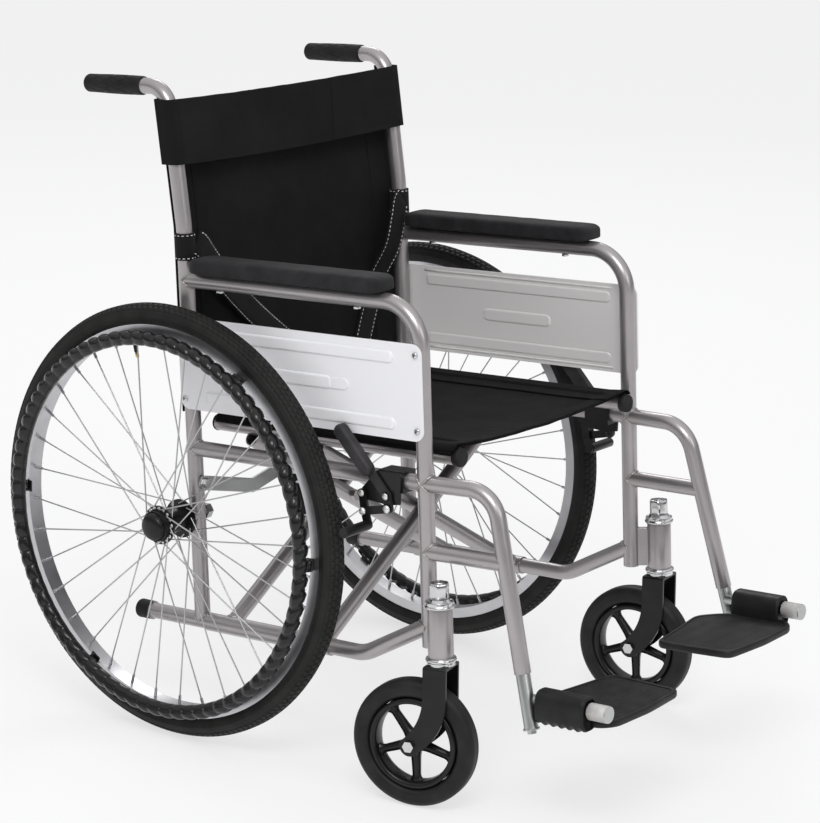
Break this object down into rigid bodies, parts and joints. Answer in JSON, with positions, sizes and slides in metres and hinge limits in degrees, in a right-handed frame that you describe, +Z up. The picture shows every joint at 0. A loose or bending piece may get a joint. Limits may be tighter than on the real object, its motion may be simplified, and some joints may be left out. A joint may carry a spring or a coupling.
{
  "type": "manual wheelchair",
  "caption": "Folding manual wheelchair with spoked rear wheels, wavy hand rims, swivel casters, sling seat and back, wheel locks and flip-up footplates.",
  "frame": {"origin": "on the ground, under the middle of the bounding box", "axes": "+Z up, -Y the way the chair faces, +X the occupant's left"},
  "size_m": [0.672, 1.0051, 0.9057],
  "materials": {
    "silver_paint": "metallic silver stove enamel on steel tube",
    "grip_rubber": "matt moulded grip",
    "pad_foam": "grained self-skinned foam",
    "white_plastic": "smooth white pressed panel",
    "zinc": "bright zinc or chrome plate",
    "black_steel": "gloss black powder coat",
    "webbing": "black webbing with white stitching",
    "upholstery": "black woven nylon",
    "tyre": "matt block tread",
    "rim_alloy": "bright rim",
    "spoke_wire": "drawn wire",
    "hub_black": "black hub",
    "ring_plastic": "moulded wavy ring",
    "caster_rubber": "solid tyre",
    "caster_plastic": "spoked wheel",
    "plate_plastic": "textured footplate",
    "lever_plastic": "plastic sleeved lever"
  },
  "bodies": {
    "right_frame": {"rear_post_right": "silver_paint", "arm_tube_right": "silver_paint", "lower_rail_right": "silver_paint", "side_rails_right": "silver_paint", "footrest_hanger_right": "silver_paint", "caster_housing_right": "silver_paint", "push_grip_right": "grip_rubber", "arm_pad_right": "pad_foam", "side_panel_right": "white_plastic", "frame_fasteners_right": "zinc", "brake_bracket_right": "black_steel", "wheel_axle_right": "zinc", "lap_belt_right": "webbing", "back_sling": "upholstery"},
    "cross_right": {"cross_frame_right": "silver_paint", "seat_sling": "upholstery"},
    "stay_right": {"stay_link_right": "zinc"},
    "wheel_right": {"tyre_right": "tyre", "rim_right": "rim_alloy", "spokes_right": "spoke_wire", "hub_right": "hub_black", "hand_rim_right": "ring_plastic"},
    "caster_right": {"caster_fork_right": "black_steel", "caster_hardware_right": "zinc"},
    "caster_wheel_right": {"caster_tyre_right": "caster_rubber", "caster_wheel_right": "caster_plastic"},
    "footrest_right": {"footrest_tube_right": "zinc"},
    "footplate_right": {"footplate_right": "plate_plastic"},
    "brake_lever_right": {"brake_lever_right": "lever_plastic"},
    "brake_link_right": {"brake_link_right": "black_steel"},
    "brake_shoe_right": {"brake_shoe_right": "black_steel"},
    "left_frame": {"rear_post_left": "silver_paint", "arm_tube_left": "silver_paint", "lower_rail_left": "silver_paint", "side_rails_left": "silver_paint", "footrest_hanger_left": "silver_paint", "caster_housing_left": "silver_paint", "push_grip_left": "grip_rubber", "arm_pad_left": "pad_foam", "side_panel_left": "white_plastic", "frame_fasteners_left": "zinc", "brake_bracket_left": "black_steel", "wheel_axle_left": "zinc", "lap_belt_left": "webbing"},
    "cross_left": {"cross_frame_left": "silver_paint"},
    "stay_left": {"stay_link_left": "zinc"},
    "wheel_left": {"tyre_left": "tyre", "rim_left": "rim_alloy", "spokes_left": "spoke_wire", "hub_left": "hub_black", "hand_rim_left": "ring_plastic"},
    "caster_left": {"caster_fork_left": "black_steel", "caster_hardware_left": "zinc"},
    "caster_wheel_left": {"caster_tyre_left": "caster_rubber", "caster_wheel_left": "caster_plastic"},
    "footrest_left": {"footrest_tube_left": "zinc"},
    "footplate_left": {"footplate_left": "plate_plastic"},
    "brake_lever_left": {"brake_lever_left": "lever_plastic"},
    "brake_link_left": {"brake_link_left": "black_steel"},
    "brake_shoe_left": {"brake_shoe_left": "black_steel"}
  },
  "joints": [
    {"name": "fold", "type": "hinge", "parent": "right_frame", "child": "cross_right", "pos_m": [-0.235, 0.06581, 0.1598], "axis": [0, -0.997, 0.0778], "range_deg": [0, 36], "deforming": ["seat_sling", "back_sling", "lap_belt_right", "lap_belt_left"]},
    {"name": "cross_pivot", "type": "hinge", "parent": "cross_right", "child": "cross_left", "pos_m": [0, 0.06291, 0.30262], "axis": [0, -0.997, 0.0778], "range_deg": [-72, 0]},
    {"name": "left_rail_pivot", "type": "hinge", "parent": "cross_left", "child": "left_frame", "pos_m": [0.235, 0.06581, 0.1598], "axis": [0, -0.997, 0.0778], "range_deg": [0, 36]},
    {"name": "stay_pivot_right", "type": "hinge", "parent": "right_frame", "child": "stay_right", "pos_m": [-0.235, 0.18505, 0.35111], "axis": [0, -0.997, 0.0778], "range_deg": [0, 66.32]},
    {"name": "wheel_spin_right", "type": "hinge", "parent": "right_frame", "child": "wheel_right", "pos_m": [-0.291, 0.1975, 0.305], "axis": [1, 0, 0], "continuous": true},
    {"name": "caster_swivel_right", "type": "hinge", "parent": "right_frame", "child": "caster_right", "pos_m": [-0.257, -0.24756, 0.24443], "axis": [0, 0.0778, 0.997], "continuous": true},
    {"name": "caster_spin_right", "type": "hinge", "parent": "caster_right", "child": "caster_wheel_right", "pos_m": [-0.26658, -0.22087, 0.08715], "axis": [0.9709, 0.2387, -0.0186], "continuous": true},
    {"name": "footrest_height_right", "type": "slide", "parent": "right_frame", "child": "footrest_right", "axis": [-0.0636, -0.2872, -0.9558], "range_m": [-0.02, 0.03]},
    {"name": "footplate_flip_right", "type": "hinge", "parent": "footrest_right", "child": "footplate_right", "pos_m": [-0.235, -0.43392, 0.18273], "axis": [0, -0.997, 0.0778], "range_deg": [0, 90.1]},
    {"name": "brake_lever_right", "type": "hinge", "parent": "right_frame", "child": "brake_lever_right", "pos_m": [-0.2544, -0.15067, 0.40638], "axis": [1, 0, 0], "range_deg": [0, 22]},
    {"name": "brake_link_pin_right", "type": "hinge", "parent": "brake_lever_right", "child": "brake_link_right", "pos_m": [-0.2544, -0.15491, 0.39066], "axis": [1, 0, 0], "range_deg": [-22, 0]},
    {"name": "brake_shoe_pivot_right", "type": "hinge", "parent": "right_frame", "child": "brake_shoe_right", "pos_m": [-0.2544, -0.11079, 0.40327], "axis": [1, 0, 0], "range_deg": [0, 14.6]},
    {"name": "stay_pivot_left", "type": "hinge", "parent": "left_frame", "child": "stay_left", "pos_m": [0.235, 0.18505, 0.35111], "axis": [0, -0.997, 0.0778], "range_deg": [-66.32, 0]},
    {"name": "wheel_spin_left", "type": "hinge", "parent": "left_frame", "child": "wheel_left", "pos_m": [0.291, 0.1975, 0.305], "axis": [1, 0, 0], "continuous": true},
    {"name": "caster_swivel_left", "type": "hinge", "parent": "left_frame", "child": "caster_left", "pos_m": [0.257, -0.24756, 0.24443], "axis": [0, 0.0778, 0.997], "continuous": true},
    {"name": "caster_spin_left", "type": "hinge", "parent": "caster_left", "child": "caster_wheel_left", "pos_m": [0.25164, -0.22007, 0.08709], "axis": [0.991, 0.1336, -0.0104], "continuous": true},
    {"name": "footrest_height_left", "type": "slide", "parent": "left_frame", "child": "footrest_left", "axis": [0.0636, -0.2872, -0.9558], "range_m": [-0.005, 0.045]},
    {"name": "footplate_flip_left", "type": "hinge", "parent": "footrest_left", "child": "footplate_left", "pos_m": [0.235, -0.43252, 0.20068], "axis": [0, -0.997, 0.0778], "range_deg": [-90.1, 0]},
    {"name": "brake_lever_left", "type": "hinge", "parent": "left_frame", "child": "brake_lever_left", "pos_m": [0.2544, -0.15067, 0.40638], "axis": [1, 0, 0], "range_deg": [0, 22]},
    {"name": "brake_link_pin_left", "type": "hinge", "parent": "brake_lever_left", "child": "brake_link_left", "pos_m": [0.2544, -0.15491, 0.39066], "axis": [1, 0, 0], "range_deg": [-22, 0]},
    {"name": "brake_shoe_pivot_left", "type": "hinge", "parent": "left_frame", "child": "brake_shoe_left", "pos_m": [0.2544, -0.11079, 0.40327], "axis": [1, 0, 0], "range_deg": [0, 14.6]}
  ],
  "couplings": [
    {"joint": "cross_pivot", "follows": "fold", "ratio": -2},
    {"joint": "left_rail_pivot", "follows": "fold", "ratio": 1},
    {"joint": "stay_pivot_right", "follows": "fold", "ratio": 1.842},
    {"joint": "footplate_flip_right", "follows": "fold", "ratio": 2.5},
    {"joint": "brake_link_pin_right", "follows": "brake_lever_right", "ratio": -1},
    {"joint": "brake_shoe_pivot_right", "follows": "brake_lever_right", "ratio": 0.659},
    {"joint": "stay_pivot_left", "follows": "fold", "ratio": -1.842},
    {"joint": "footplate_flip_left", "follows": "fold", "ratio": -2.5},
    {"joint": "brake_link_pin_left", "follows": "brake_lever_left", "ratio": -1},
    {"joint": "brake_shoe_pivot_left", "follows": "brake_lever_left", "ratio": 0.659}
  ]
}
